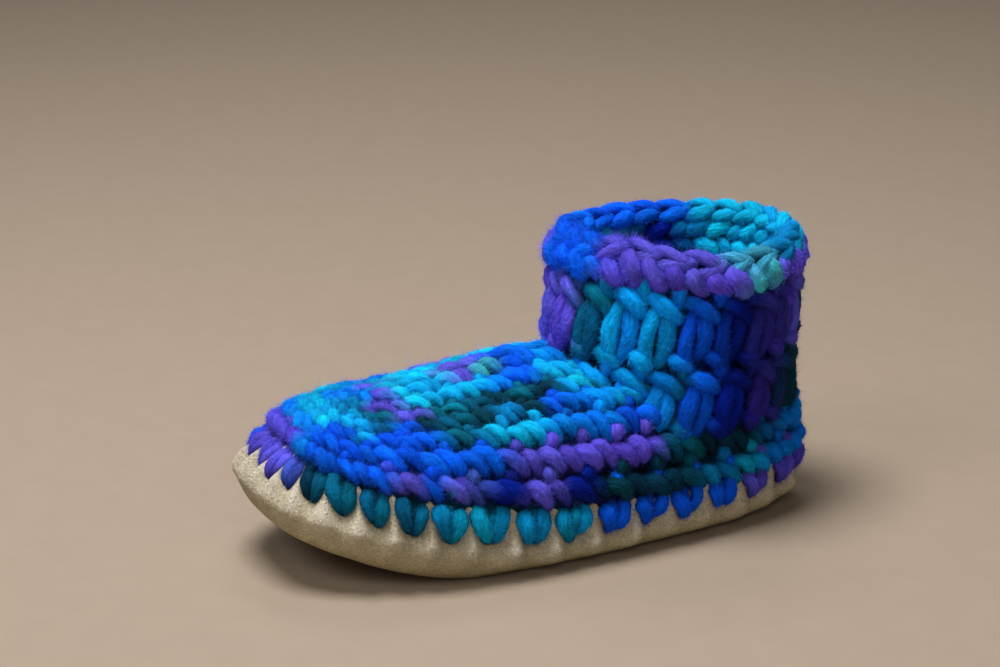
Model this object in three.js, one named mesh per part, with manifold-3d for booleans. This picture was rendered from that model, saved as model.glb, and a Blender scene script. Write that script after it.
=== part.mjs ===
// A crocheted ankle slipper with a cupped suede sole.
// Millimetres, +Z up, toe towards -Y, standing on the plane z = 0 with the origin under its middle.

import * as THREE from 'three';
import { mergeVertices } from 'three/addons/utils/BufferGeometryUtils.js';
import Module from 'manifold-3d';

const wasm = await Module();
wasm.setup();

// Plan of the sole. A place along it is a fraction: -1 at the toe tip, 1 at the back of the heel.
const LENGTH = 250;
const BALL_HALF_WIDTH = 56;
const HEEL_HALF_WIDTH = 47;
const TAPER_FROM = -0.35;
const TAPER_TO = 0.6;
const TOE_POWER = 3;
const HEEL_POWER = 2.5;
const OUTLINE_STEPS = 2880;

// Joining stitches around the sole, closer together round the toe than along the sides
const STITCHES = 36;
const STATIONS_PER_STITCH = 4;
const TOE_PITCH = 13.6;
const SIDE_PITCH = 18.4;
const PITCH_GROWS_FROM = 5;
const PITCH_GROWS_TO = 9;

// Suede sole: a shallow dish whose toe lifts off the floor and leans in over the toes
const SUEDE = 2.5;
const HOLE_HEIGHT = 13.5;
const HOLE_TOE_RISE = 32;
const HOLE_TOE_POWER = 1.8;
const HOLE_HEEL_RISE = 2;
const HEEL_RISE_FROM = 0.5;
const RIM_ABOVE_HOLE = 10;
const RIM_ABOVE_HOLE_TOE = 4.5;
const BULGE_BELOW_HOLE = 3;
const BULGE_BELOW_HOLE_TOE = 9;
const TOE_LEAN = 16;
const TOE_LEAN_FROM = 0.5;
const TOE_LEAN_POWER = 1.5;
const HOLE_SHARE_OF_LEAN = 0.4;
const BELLY_SHARE_OF_LEAN = 0.8;
const UNDER_TURN = 12;
const TOE_SPRING = 28;
const TOE_SPRING_FROM = 0.36;
const HEEL_SPRING = 5;
const HEEL_SPRING_FROM = 0.6;
const SPRING_POWER = 1.6;
const TURN_STEPS = 4;

// Crocheted foot: rounds run round the toe and close along the middle of the vamp. Each ends at a share of the
// way from the first row line to that middle.
const ROUND_ENDS = [0.16, 0.325, 0.46, 0.585, 0.71, 0.85, 1];
const SECTION_STEPS = 96;
const WALL = 7;
const ROW_LINE_ABOVE_RIM = 5;
const FOOT_OVERHANG = 0.4;
const ROW_RELIEF = 2.2;
const STITCH_RELIEF = 0.8;
const JOIN_RELIEF = 4.2;
const JOIN_TOE_RELIEF = 2.4;
const JOIN_VALLEY_RELIEF = 2.4;
const JOIN_VALLEY_RISE = 9;
const JOIN_EDGE_RELIEF = 1.2;
const TOE_PIVOT_Y = -72;
const HEEL_PIVOT_Y = 86;
const RIDGE_TOE_Z = 67.5;
const RIDGE_INSTEP_Z = 78;
const RIDGE_INSTEP_Y = 5;
const RIDGE_ANKLE_Z = 62;
const RIDGE_ANKLE_FROM_Y = 25;

// Section of the foot along the sole: share of its rise taken by the shoulder, and how sharply that turns
const FOOT_SECTIONS = [
  { along: -1, shoulder: 0.5, sharpness: 5 },
  { along: -0.4, shoulder: 0.62, sharpness: 8 },
  { along: 0.1, shoulder: 0.65, sharpness: 8 },
  { along: 0.6, shoulder: 0.88, sharpness: 14 },
  { along: 1, shoulder: 0.9, sharpness: 14 },
];

// Shaft: an oval tube leaning back a little from the ankle to the collar, whose rim dips at the sides
const SHAFT_UNITS = 21;
const STATIONS_PER_UNIT = 4;
const SHAFT_BASE_Z = 50;
const SHAFT_BASE_Y = 64.5;
const SHAFT_BASE_HALF_LENGTH = 52.5;
const SHAFT_BASE_HALF_WIDTH = 43;
const COLLAR_Z = 120.5;
const COLLAR_Y = 69.8;
const COLLAR_HALF_LENGTH = 49.5;
const COLLAR_HALF_WIDTH = 42.5;
const COLLAR_SIDE_DIP = 2;
const COLLAR_FRONT_RISE = 1.7;
const COLLAR_BACK_RISE = 0.3;
const SHAFT_INSIDE = -6;

// Wall of the shaft from the ankle to the rim: height, distance out from the tube's middle line, and ripple
const SHAFT_LEVELS = [
  { name: 'root', z: 40, out: 1.5, ripple: 0 },
  { name: 'notch', z: 48, out: 1.8, ripple: 0 },
  { name: 'lower tier, foot', z: 54, out: 4.8, ripple: 1.3 },
  { name: 'lower tier, head', z: 65, out: 5.2, ripple: 1.3 },
  { name: 'groove', z: 69.5, out: 2.2, ripple: 0 },
  { name: 'upper tier, foot', z: 75, out: 4.8, ripple: 1.3 },
  { name: 'upper tier, head', z: 98, out: 5.2, ripple: 1.3 },
  { name: 'groove', z: 102.5, out: 2.4, ripple: 0 },
  { name: 'collar row', z: 109, out: 5.4, ripple: 0.8 },
  { name: 'groove', z: 113, out: 3.0, ripple: 0 },
  { name: 'rim, outside', z: 119.5, out: 5.2, ripple: 0.4 },
  { name: 'rim, shoulder', z: 123.5, out: 3.6, ripple: 0.2 },
  { name: 'rim, top', z: 125.5, out: 0.8, ripple: 0 },
];

// Hollow of the shaft, from inside the foot to above the rim
const HOLLOW_LEVELS = [
  { name: 'ankle', z: 40, out: SHAFT_INSIDE },
  { name: 'under the rim', z: 113, out: SHAFT_INSIDE },
  { name: 'rim, inside', z: 119.5, out: SHAFT_INSIDE },
  { name: 'rim, inner shoulder', z: 123.5, out: -4 },
  { name: 'rim, top', z: 125.5, out: -0.8 },
  { name: 'above', z: 133, out: -0.8 },
];

// Insole: a thin fleece bed with a bevelled edge, lying in the dish
const INSOLE = 3;
const INSOLE_INSET = 10;
const INSOLE_BEVEL = 2;

// Gap kept between touching pieces
const GAP = 0.3;

const STATIONS = STITCHES * STATIONS_PER_STITCH;
const HALF_LENGTH = LENGTH / 2;

const lerp = THREE.MathUtils.lerp;
const smooth = (from, to, x) => THREE.MathUtils.smoothstep(x, from, to);
const ramp = (from, x, power) => Math.max((x - from) / (1 - from), 0) ** power;
const signedPower = (x, power) => Math.sign(x) * Math.abs(x) ** power;
const along = (y) => THREE.MathUtils.clamp(y / HALF_LENGTH, -1, 1);

// Outline of the sole

function outlinePoint(angle) {
  const power = Math.cos(angle) > 0 ? TOE_POWER : HEEL_POWER;
  const c = -signedPower(Math.cos(angle), 2 / power);
  const halfWidth = lerp(BALL_HALF_WIDTH, HEEL_HALF_WIDTH, smooth(TAPER_FROM, TAPER_TO, c));
  const x = signedPower(Math.sin(angle), 2 / power) * halfWidth;
  return new THREE.Vector2(x, c * HALF_LENGTH);
}

function outlineCurve() {
  const points = [];
  for (let i = 0; i < OUTLINE_STEPS; i++) points.push(outlinePoint((i / OUTLINE_STEPS) * 2 * Math.PI));
  points.push(points[0].clone());
  const path = new THREE.CurvePath();
  for (let i = 0; i < OUTLINE_STEPS; i++) path.add(new THREE.LineCurve(points[i], points[i + 1]));
  return path;
}

// Share of the way round the outline at each station, from the toe tip round the +X side

function stationShares() {
  const half = [0];
  for (let k = 0; k < STATIONS / 2; k++) {
    const stitch = (k + 0.5) / STATIONS_PER_STITCH;
    half.push(half[k] + lerp(TOE_PITCH, SIDE_PITCH, smooth(PITCH_GROWS_FROM, PITCH_GROWS_TO, stitch)));
  }
  const whole = 2 * half[STATIONS / 2];
  const shares = half.map((distance) => distance / whole);
  for (let k = STATIONS / 2 + 1; k < STATIONS; k++) shares.push(1 - shares[STATIONS - k]);
  return shares;
}

function makeStations() {
  const curve = outlineCurve();
  const reach = 1 / STATIONS / 2;
  return stationShares().map((share) => {
    const at = curve.getPointAt(share);
    const ahead = curve.getPointAt((share + reach) % 1);
    const behind = curve.getPointAt((share + 1 - reach) % 1);
    const normal = new THREE.Vector2(ahead.y - behind.y, behind.x - ahead.x).normalize();
    return { x: at.x, y: at.y, nx: normal.x, ny: normal.y, c: along(at.y) };
  });
}

const stations = makeStations();

// Heights round the sole

const toeward = (c) => Math.max(-c, 0);
const toeShare = (c) => ramp(TOE_LEAN_FROM, -c, TOE_LEAN_POWER);

function holeHeight(c) {
  const toe = HOLE_TOE_RISE * toeward(c) ** HOLE_TOE_POWER;
  return HOLE_HEIGHT + toe + HOLE_HEEL_RISE * ramp(HEEL_RISE_FROM, c, 2);
}

const rimHeight = (c) => holeHeight(c) + lerp(RIM_ABOVE_HOLE, RIM_ABOVE_HOLE_TOE, toeShare(c));
const bulgeHeight = (c) => holeHeight(c) - lerp(BULGE_BELOW_HOLE, BULGE_BELOW_HOLE_TOE, toeShare(c));
const rimLean = (c) => TOE_LEAN * toeShare(c);

function floorHeight(y) {
  const toe = TOE_SPRING * ramp(TOE_SPRING_FROM, -along(y), SPRING_POWER);
  return toe + HEEL_SPRING * ramp(HEEL_SPRING_FROM, along(y), SPRING_POWER);
}

function inwards(station, distance, z) {
  return new THREE.Vector3(station.x - station.nx * distance, station.y - station.ny * distance, z);
}

// Closed solids from loops that run round the stations

function solidOf(points, triangles) {
  const geometry = new THREE.BufferGeometry();
  const positions = points.flatMap((p) => [p.x, p.y, p.z]);
  geometry.setAttribute('position', new THREE.Float32BufferAttribute(positions, 3));
  geometry.setIndex(triangles.flat());
  const merged = mergeVertices(geometry, 1e-4);
  const at = merged.attributes.position;
  const kept = [];
  let volume = 0;
  for (let i = 0; i < merged.index.count; i += 3) {
    const corners = [0, 1, 2].map((j) => merged.index.getX(i + j));
    if (new Set(corners).size < 3) continue;
    const [a, b, c] = corners.map((j) => new THREE.Vector3().fromBufferAttribute(at, j));
    volume += a.dot(b.cross(c));
    kept.push(corners);
  }
  const facing = volume > 0 ? kept : kept.map(([a, b, c]) => [a, c, b]);
  const triVerts = new Uint32Array(facing.flat());
  const vertProperties = new Float32Array(at.array);
  return new wasm.Manifold(new wasm.Mesh({ numProp: 3, vertProperties, triVerts }));
}

function quad(a, b, c, d) {
  return [[a, b, c], [a, c, d]];
}

// A flat strip joins each place on the +X side of a loop to its mirror image
function capOf(first, count, up) {
  const triangles = [];
  for (let k = 0; k < count / 2; k++) {
    const left = first + ((count - k) % count);
    const leftNext = first + count - k - 1;
    const strip = quad(first + k, first + k + 1, leftNext, left);
    triangles.push(...(up ? strip : strip.map(([a, b, c]) => [a, c, b])));
  }
  return triangles;
}

function solidFromLoops(loops) {
  const count = loops[0].length;
  const triangles = [...capOf(0, count, true), ...capOf((loops.length - 1) * count, count, false)];
  for (let j = 0; j + 1 < loops.length; j++) {
    for (let k = 0; k < count; k++) {
      const next = (k + 1) % count;
      const low = j * count;
      const high = low + count;
      triangles.push(...quad(low + k, high + k, high + next, low + next));
    }
  }
  return solidOf(loops.flat(), triangles);
}

// The dish of the sole, moved inwards by a distance, with its top edge raised past the rim

function dishSolid(inset, topRise) {
  const ring = stations.filter((station, k) => k % 2 === 0);
  const loops = [
    ring.map((s) => inwards(s, inset + rimLean(s.c), rimHeight(s.c) + topRise)),
    ring.map((s) => inwards(s, inset + rimLean(s.c) * HOLE_SHARE_OF_LEAN, holeHeight(s.c))),
    ring.map((s) => inwards(s, inset, bulgeHeight(s.c))),
  ];
  for (let i = 1; i <= TURN_STEPS; i++) {
    const turn = (i / TURN_STEPS) * (Math.PI / 2);
    loops.push(ring.map((s) => {
      const edge = inwards(s, inset + UNDER_TURN, 0);
      const floor = floorHeight(edge.y) + inset;
      const drop = (floor - bulgeHeight(s.c)) * Math.sin(turn);
      return inwards(s, inset + UNDER_TURN * (1 - Math.cos(turn)), bulgeHeight(s.c) + drop);
    }));
  }
  return solidFromLoops(loops);
}

// The crocheted foot

function ridgeHeight(y) {
  const vamp = lerp(RIDGE_TOE_Z, RIDGE_INSTEP_Z, smooth(TOE_PIVOT_Y, RIDGE_INSTEP_Y, y));
  return lerp(vamp, RIDGE_ANKLE_Z, smooth(RIDGE_ANKLE_FROM_Y, HEEL_PIVOT_Y, y));
}

// Values of a section between the rows of its table
function sectionAt(c) {
  const next = FOOT_SECTIONS.findIndex((row) => row.along >= c);
  const from = FOOT_SECTIONS[Math.max(next - 1, 0)];
  const to = FOOT_SECTIONS[next];
  const share = smooth(from.along, to.along, c);
  return {
    shoulder: lerp(from.shoulder, to.shoulder, share),
    sharpness: lerp(from.sharpness, to.sharpness, share),
  };
}

// Points from the first row line to the middle of the vamp, at shares of the way
function footSection(station, inset, sink, shares) {
  const start = inwards(station, rimLean(station.c) + inset - FOOT_OVERHANG, 0);
  start.z = rimHeight(station.c) + ROW_LINE_ABOVE_RIM - sink;
  const ridgeY = THREE.MathUtils.clamp(station.y, TOE_PIVOT_Y, HEEL_PIVOT_Y);
  const end = new THREE.Vector3(0, ridgeY, ridgeHeight(ridgeY) - sink);
  const { shoulder, sharpness } = sectionAt(station.c);
  const fine = [];
  for (let i = 0; i <= SECTION_STEPS; i++) {
    const across = (i / SECTION_STEPS) ** 2;
    const rise = shoulder * (1 - (1 - across) ** sharpness) + (1 - shoulder) * across;
    fine.push(start.clone().lerp(end, across).setZ(lerp(start.z, end.z, rise)));
  }
  const path = new THREE.CurvePath();
  for (let i = 0; i + 1 < fine.length; i++) path.add(new THREE.LineCurve3(fine[i], fine[i + 1]));
  const points = shares.map((share) => path.getPointAt(share));
  points.at(-1).copy(end);
  return points;
}

function raisedGrid(grid, reliefAt) {
  const count = grid.length;
  return grid.map((section, k) => section.map((point, i) => {
    if (i === 0 || i === section.length - 1) return point.clone();
    const round = grid[(k + 1) % count][i].clone().sub(grid[(k + count - 1) % count][i]);
    const up = section[i + 1].clone().sub(section[i - 1]);
    const outward = round.cross(up).normalize();
    return point.clone().addScaledVector(outward, reliefAt(k, i));
  }));
}

// How far a station lies from the tip of its joining stitch: 0 at the tip, 1 halfway to the next
function awayFromTip(k) {
  const place = (k % STATIONS_PER_STITCH) / STATIONS_PER_STITCH;
  return 1 - Math.abs(place - 0.5) * 2;
}

// Shares at the lines between rounds, in even places, and at the crest of each round
function reliefShares() {
  const shares = [0];
  for (const end of ROUND_ENDS) shares.push(lerp(shares.at(-1), end, 0.5), end);
  return shares;
}

function footRelief(k, i) {
  if (i % 2 === 0) return 0;
  return ROW_RELIEF + STITCH_RELIEF * (0.5 - awayFromTip(k));
}

// The joining stitches hang over the outside of the suede as a row of points
function joiningLoops() {
  const edge = stations.map((s, k) => {
    const z = holeHeight(s.c) + JOIN_VALLEY_RISE * awayFromTip(k);
    return inwards(s, rimLean(s.c) * HOLE_SHARE_OF_LEAN - GAP - JOIN_EDGE_RELIEF, z);
  });
  const belly = stations.map((s, k) => {
    const z = lerp(edge[k].z, rimHeight(s.c) + ROW_LINE_ABOVE_RIM, 0.5);
    const tipRelief = lerp(JOIN_RELIEF, JOIN_TOE_RELIEF, toeShare(s.c));
    const relief = lerp(tipRelief, JOIN_VALLEY_RELIEF, awayFromTip(k));
    return inwards(s, rimLean(s.c) * BELLY_SHARE_OF_LEAN - relief, z);
  });
  return [edge, belly];
}

function footOutside() {
  const shares = reliefShares();
  const grid = raisedGrid(stations.map((s) => footSection(s, 0, 0, shares)), footRelief);
  const loops = joiningLoops();
  for (let i = 0; i < shares.length; i++) loops.push(grid.map((section) => section[i]));
  return solidFromLoops(loops);
}

function footHollow() {
  const ring = stations.filter((station, k) => k % 2 === 0);
  const shares = [0, ...ROUND_ENDS];
  const sections = ring.map((s) => footSection(s, WALL, WALL, shares));
  const below = sections.map((section) => section[0].clone().setZ(section[0].z - ROW_LINE_ABOVE_RIM));
  const loops = [below];
  for (let i = 0; i < shares.length; i++) loops.push(sections.map((section) => section[i]));
  return solidFromLoops(loops);
}

// The shaft

function collarRise(angle) {
  const end = Math.cos(angle) > 0 ? COLLAR_FRONT_RISE : COLLAR_BACK_RISE;
  return lerp(-COLLAR_SIDE_DIP, end, Math.cos(angle) ** 2);
}

function shaftLoop(level, count) {
  const rise = (level.z - SHAFT_BASE_Z) / (COLLAR_Z - SHAFT_BASE_Z);
  const middleY = lerp(SHAFT_BASE_Y, COLLAR_Y, rise);
  const halfLength = lerp(SHAFT_BASE_HALF_LENGTH, COLLAR_HALF_LENGTH, rise) + level.out;
  const halfWidth = lerp(SHAFT_BASE_HALF_WIDTH, COLLAR_HALF_WIDTH, rise) + level.out;
  const points = [];
  for (let k = 0; k < count; k++) {
    const angle = (k / count) * 2 * Math.PI;
    const ripple = (level.ripple ?? 0) * Math.cos(angle * SHAFT_UNITS);
    const x = (halfWidth + ripple) * Math.sin(angle);
    const y = -(halfLength + ripple) * Math.cos(angle);
    points.push(new THREE.Vector3(x, middleY + y, level.z + rise * collarRise(angle)));
  }
  return points;
}

function shaftSolid(levels, count) {
  return solidFromLoops([...levels].reverse().map((level) => shaftLoop(level, count)));
}

// Nodes

function upperSolid() {
  const count = SHAFT_UNITS * STATIONS_PER_UNIT;
  const outside = footOutside().add(shaftSolid(SHAFT_LEVELS, count));
  const hollow = footHollow().add(shaftSolid(HOLLOW_LEVELS, count / 2));
  return outside.subtract(hollow).subtract(dishSolid(-GAP, GAP));
}

function soleSolid() {
  return dishSolid(0, 0).subtract(dishSolid(SUEDE, RIM_ABOVE_HOLE));
}

function insoleSolid() {
  const ring = stations.filter((station, k) => k % 4 === 0);
  const bed = SUEDE + GAP;
  const loopAt = (inset, lift) => ring.map((s) => {
    const place = inwards(s, inset, 0);
    return place.setZ(floorHeight(inwards(s, SUEDE + UNDER_TURN, 0).y) + lift);
  });
  return solidFromLoops([
    loopAt(INSOLE_INSET, bed + INSOLE),
    loopAt(INSOLE_INSET, bed + INSOLE_BEVEL),
    loopAt(SUEDE + UNDER_TURN, bed),
  ]);
}

function nodeMesh(name, solid, material) {
  const mesh = solid.getMesh();
  const geometry = new THREE.BufferGeometry();
  geometry.setAttribute('position', new THREE.Float32BufferAttribute(mesh.vertProperties, mesh.numProp));
  geometry.setIndex(Array.from(mesh.triVerts));
  const node = new THREE.Mesh(geometry, material);
  node.name = name;
  return node;
}

const wool = new THREE.MeshStandardMaterial({ color: 0x1668c8, roughness: 0.95, metalness: 0 });
const suede = new THREE.MeshStandardMaterial({ color: 0xd0c4a6, roughness: 0.9, metalness: 0 });
const fleece = new THREE.MeshStandardMaterial({ color: 0xe9e2d2, roughness: 1, metalness: 0 });

// The joining stitches stand out behind the heel, so the whole slipper's middle lies behind the sole's
const slipper = new THREE.Group();
slipper.position.y = -JOIN_RELIEF / 2;
slipper.add(nodeMesh('sole', soleSolid(), suede));
slipper.add(nodeMesh('insole', insoleSolid(), fleece));
slipper.add(nodeMesh('upper', upperSolid(), wool));

export default slipper;
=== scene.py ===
"""Looks of a crocheted slipper on a suede sole: yarn stitches, napped suede, fleece, light and camera."""
import math

import bpy
import numpy as np
from mathutils import Matrix


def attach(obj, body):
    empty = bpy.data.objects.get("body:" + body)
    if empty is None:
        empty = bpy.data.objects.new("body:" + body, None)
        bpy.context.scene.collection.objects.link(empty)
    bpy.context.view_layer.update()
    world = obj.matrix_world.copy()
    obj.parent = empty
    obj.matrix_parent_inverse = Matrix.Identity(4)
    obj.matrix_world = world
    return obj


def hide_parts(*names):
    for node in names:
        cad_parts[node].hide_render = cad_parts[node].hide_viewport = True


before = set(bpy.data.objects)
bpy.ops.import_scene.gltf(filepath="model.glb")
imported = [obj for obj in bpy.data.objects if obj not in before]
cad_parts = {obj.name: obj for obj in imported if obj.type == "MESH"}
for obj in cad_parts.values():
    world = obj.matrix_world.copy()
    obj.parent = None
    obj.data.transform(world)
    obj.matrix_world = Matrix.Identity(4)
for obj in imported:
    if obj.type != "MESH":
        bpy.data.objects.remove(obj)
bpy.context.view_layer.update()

# Sizes are in millimetres and turned into metres when a mesh is made
MM = 0.001
RNG = np.random.default_rng(7)

# Plan of the sole. A place along it is a fraction: -1 at the toe tip, 1 at the back of the heel.
LENGTH = 250
MIDDLE_Y = -2.1
BALL_HALF_WIDTH = 56
HEEL_HALF_WIDTH = 47
TAPER_FROM = -0.35
TAPER_TO = 0.6
TOE_POWER = 3
HEEL_POWER = 2.5
OUTLINE_STEPS = 2880
NORMAL_REACH = 1 / 288

# Joining stitches round the sole, counted from the toe tip round the +X side
STITCHES = 36
STITCH_PARTS = 16
TOE_PITCH = 13.6
SIDE_PITCH = 18.4
PITCH_GROWS_FROM = 5
PITCH_GROWS_TO = 9

# Stitches between which the edge of the foot goes over from its toe form to its heel form
HEEL_FROM = 8
HEEL_TO = 14

# Top and thickness of the joining stitches, at the toe and at the heel
JOINING_TOP = -0.14
JOINING_TOP_HEEL = -0.36
JOINING_THICK = 3.7
JOINING_THICK_HEEL = 3.4
JOINING_SHARE_OF_PITCH = 0.235

# Suede dish
SUEDE = 2.5
HOLE_HEIGHT = 13.5
HOLE_TOE_RISE = 32
HOLE_TOE_POWER = 1.8
HOLE_HEEL_RISE = 2
HEEL_RISE_FROM = 0.5
RIM_ABOVE_HOLE = 10
RIM_ABOVE_HOLE_TOE = 4.5
BULGE_BELOW_HOLE = 3
BULGE_BELOW_HOLE_TOE = 9
TOE_LEAN = 16
TOE_LEAN_FROM = 0.5
TOE_LEAN_POWER = 1.5
HOLE_SHARE_OF_LEAN = 0.4
UNDER_TURN = 12
TOE_SPRING = 28
TOE_SPRING_FROM = 0.36
HEEL_SPRING = 5
HEEL_SPRING_FROM = 0.6
SPRING_POWER = 1.6
TOE_BLUNT = 2.5
SOLE_PARTS = 14
WALL_LOOPS = 12
TURN_LOOPS = 14
FLOOR_COLUMNS = 14

# Relief of the suede: teeth between the holes, a dent at each hole, a groove above it and puffs between
HOLE_SHARE = 0.55
TOOTH_RISE = 6.0
TOOTH_DROP = 1.5
TOOTH_FROM = 0.4
TOOTH_LOSS_TOE = 0.3
TOOTH_LOSS_HEEL = 0.7
HOLE_DENT = 3.0
HOLE_DENT_BELOW = 1
HOLE_DENT_REACH = 5.0
KNUCKLE = 4.2
KNUCKLE_BELOW = 4.0
KNUCKLE_REACH = 5.2
KNUCKLE_TALL = 7.0
GROOVE = 2.8
GROOVE_SHARE = 0.3
GROOVE_FROM = -4
GROOVE_TO = 1
PUFF_LOSS_HEEL = 0.45
PUFF_FADE = 5
INNER_DETAIL = 0.6
SOLE_WANDER = 0.45
SOLE_WANDER_SCALE = 9.0
# Painted light and shade on the suede, from its puffs and from how far it faces up
LIGHT_BY_PUFF = 0.55
LIGHT_BY_FACING = 0.8

# Fleece insole: its edge goes by distances in from the outline and heights above its underside
INSOLE_EDGE = ((10.0, 2.0), (9.8, 3.0), (12.0, 3.6))
INSOLE_PARTS = 6
INSOLE_COLUMNS = 24
INSOLE_ABOVE_SUEDE = 0.3
TUFT_HEIGHT = 0.7
TUFT_SCALE = 3.0

# Crocheted foot, charted in rows: -1 is the hole line, 0 the first row line and FOOT_ROWS the ridge
FOOT_ROWS = 6
FOOT_LOW = -1.5
FOOT_LOW_BELOW_HOLE = 5
FOOT_LOW_SHARE_OF_LEAN = 0.1
RIM_ROW = -0.33
FOOT_PARTS = 8
ROW_PARTS = 10
SECTION_STEPS = 97
ROW_LINE_ABOVE_RIM = 5
FOOT_OVERHANG = 0.4
WALL = 7
INNER_FACE = 1.5
TOE_PIVOT_Y = -72
HEEL_PIVOT_Y = 86
RIDGE_TOE_Z = 67.5
RIDGE_INSTEP_Z = 78
RIDGE_INSTEP_Y = 5
RIDGE_ANKLE_Z = 62
RIDGE_ANKLE_FROM_Y = 25

# Section of the foot along the sole: share of its rise taken by the shoulder, and how sharply that turns
SECTION_ALONG = (-1, -0.4, 0.1, 0.6, 1)
SECTION_SHOULDER = (0.5, 0.62, 0.65, 0.88, 0.9)
SECTION_SHARPNESS = (5, 8, 8, 14, 14)

# Rounds of the foot: the rows where each begins and ends, at the toe and at the heel
ROUNDS = 7
ROUND_LOW = (0.04, 0.97, 1.95, 2.75, 3.5, 4.25, 5.1)
ROUND_HIGH = (0.97, 1.95, 2.75, 3.5, 4.25, 5.1, 6.0)
HEEL_ROUND_LOW = (-0.56, 0.58, 1.75, 2.75, 3.5, 4.25, 5.1)
HEEL_ROUND_HIGH = (0.34, 1.55, 2.7, 3.5, 4.25, 5.1, 6.0)

# Stitches of the rounds: their length, and how far the bumps under them stand out
ROUND_PITCH = (18.4, 17.0, 15.0, 14.5, 14.0, 14.0, 14.0)
BUMP_LIFT = (0.6, 0.9, 0.8, 0.2, 0.0, -0.4, -0.4)
ROUND_STEPS = 2881
ROUND_SHIFT = 0.3
ROUND_RUNS_IN = 3
YARN_SHARE_OF_ROUND = 0.3
YARN_THIN = 2.8
YARN_THICK = 3.7

# Shaft and collar, charted in eighteenths of a turn from the front round the +X side, and millimetres up
SHAFT_UNITS = 18
SHAFT_LOW = 36
SHAFT_HIGH = 126
SHAFT_ROUND_STEPS = 144
SHAFT_UP_STEPS = 46
SHAFT_BASE_Z = 50
SHAFT_BASE_Y = 64.5
SHAFT_BASE_HALF_LENGTH = 52.5
SHAFT_BASE_HALF_WIDTH = 43
SHAFT_SKIN = 2.2
SHAFT_INSIDE = -4.6
COLLAR_Z = 120.5
COLLAR_Y = 69.8
COLLAR_HALF_LENGTH = 49.5
COLLAR_HALF_WIDTH = 42.5
COLLAR_SIDE_DIP = 2.0
COLLAR_FRONT_RISE = 1.7
COLLAR_BACK_RISE = 0.3
COLLAR_LEAN = 1.7
COLLAR_CORNER_RISE = 4.6
COLLAR_CORNER_ANGLE = math.radians(44)
COLLAR_CORNER_SPREAD = 0.088

# Stitches of the shaft: each tier by its low and high end and the place of its first stitch
TIER_STITCHES = 21
LOWER_TIER = (46, 70, 0.65)
UPPER_TIER = (75, 102, 0.46)
COLLAR_PAIRS = 18
COLLAR_ROW_TOP = 117.5
BRAID_LINKS = 23
BRAID_STEPS = 33
BRAID_CORE = 3.2
BRAID_TUCK = 1.6
BRAID_DROP = 1.2

# Wrong side: rounds of the shaft in millimetres up, rounds of the heel in rows of the foot
INSIDE_STITCHES = 30
INSIDE_YARN = 3.9
INSIDE_ROUNDS = np.arange(60.0, 118.0, 7.6)
INSIDE_SLANT = 3.2
INSIDE_HEEL_ROUNDS = np.arange(-0.3, 1.7, 0.62)
INSIDE_HEEL_PITCH = 0.62
INSIDE_HEEL_SLANT = 0.27
INSIDE_HEEL_FROM = 0.24
INSIDE_HEEL_TO = 0.76
VAMP_UNDERSIDE = 68
FRONT_HALF = 4

# Felted wall behind the stitches, dyed as the stitches in front and darkened by painted shade
FELT_PAINTED_SHADE = 0.15
FELT_PARTS = 4
FELT_ROWS = np.arange(-0.75, FOOT_ROWS + 0.01, 0.25)
FELT_EDGE_FROM = -0.3
FELT_EDGE_TO = 0.1
FELT_EDGE_LIFT = -3.4
FELT_LIFT = -2.0
FELT_INNER_FACE = 1.0
FELT_RUNS_IN = 4
FELT_SHAFT_HEIGHTS = np.arange(48, COLLAR_Z + 1, 4.0)
FELT_SHAFT_LIFT = -2.2
FELT_INSIDE_LIFT = -1.6
FELT_COLLAR_FROM = 103
HEEL_WALL_TOP = 45
HEEL_WALL_FROM_Y = 45

# Yarn lobes: their steps along and round, and how unevenly they are spun and dyed
LOBE_STEPS = 11
LOBE_SIDES = 10
LOBE_SIZES = (0.86, 1.12)
LOBE_FLATTEN = 0.05
LOBE_SWELL = 0.07
LOBE_ROUGH = 0.05
LOBE_TWIST = 0.06
LOBE_SHADES = (0.80, 1.28)
LOBE_GREENS = (0.8, 1.22)

# How far stitches stray on each chart: round, up and out
FOOT_WANDER = (0.055, 0.065, 0.5)
SHAFT_WANDER = (0.075, 1.1, 0.6)
BRAID_WANDER = (0.09, 0.1, 0.4)

# Painted shade in the crevices between lobes: how dark it is at their bottom, and the heights between which
# it fades
PAINTED_CREVICE_SHADE = 0.28
CREVICE_LOW = -2.5
CREVICE_HIGH = 3.0

# Stray fibres: the number of hairs in each piece of fuzz and the longest length
FUZZ = {
    "low_foot_fuzz": (190000, 2.7),
    "high_foot_fuzz": (128000, 2.7),
    "shaft_fuzz": (130000, 2.7),
    "collar_fuzz": (100000, 3.6),
    "front_tuft": (13000, 5.0),
    "toe_tuft": (20000, 4.2),
}
HAIR_STEPS = 3
HAIR_HALF_WIDTH = 0.055
HAIR_ROOT = 0.3
HAIR_SLIDE = 0.6
LONG_HAIRS = 7000
LONG_HAIR_LENGTHS = (2.5, 6.5)
LONG_HAIR_CURL = 0.6

# Places where the wool is felted thicker
FRONT_TUFT_ANGLE = math.radians(8)
FRONT_TUFT_REACH = 30
TOE_TUFT_MIDDLE = (14, -88, 58)
TOE_TUFT_REACH = 36
EVERYWHERE = 1000

# Camera fitted to the photograph
CAMERA_AZIMUTH = 66.5
CAMERA_ELEVATION = 16.5
CAMERA_DISTANCE = 1010
CAMERA_TARGET = (-28.8, MIDDLE_Y, 77)
CAMERA_LENS = 85
CAMERA_SENSOR = 36

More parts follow.
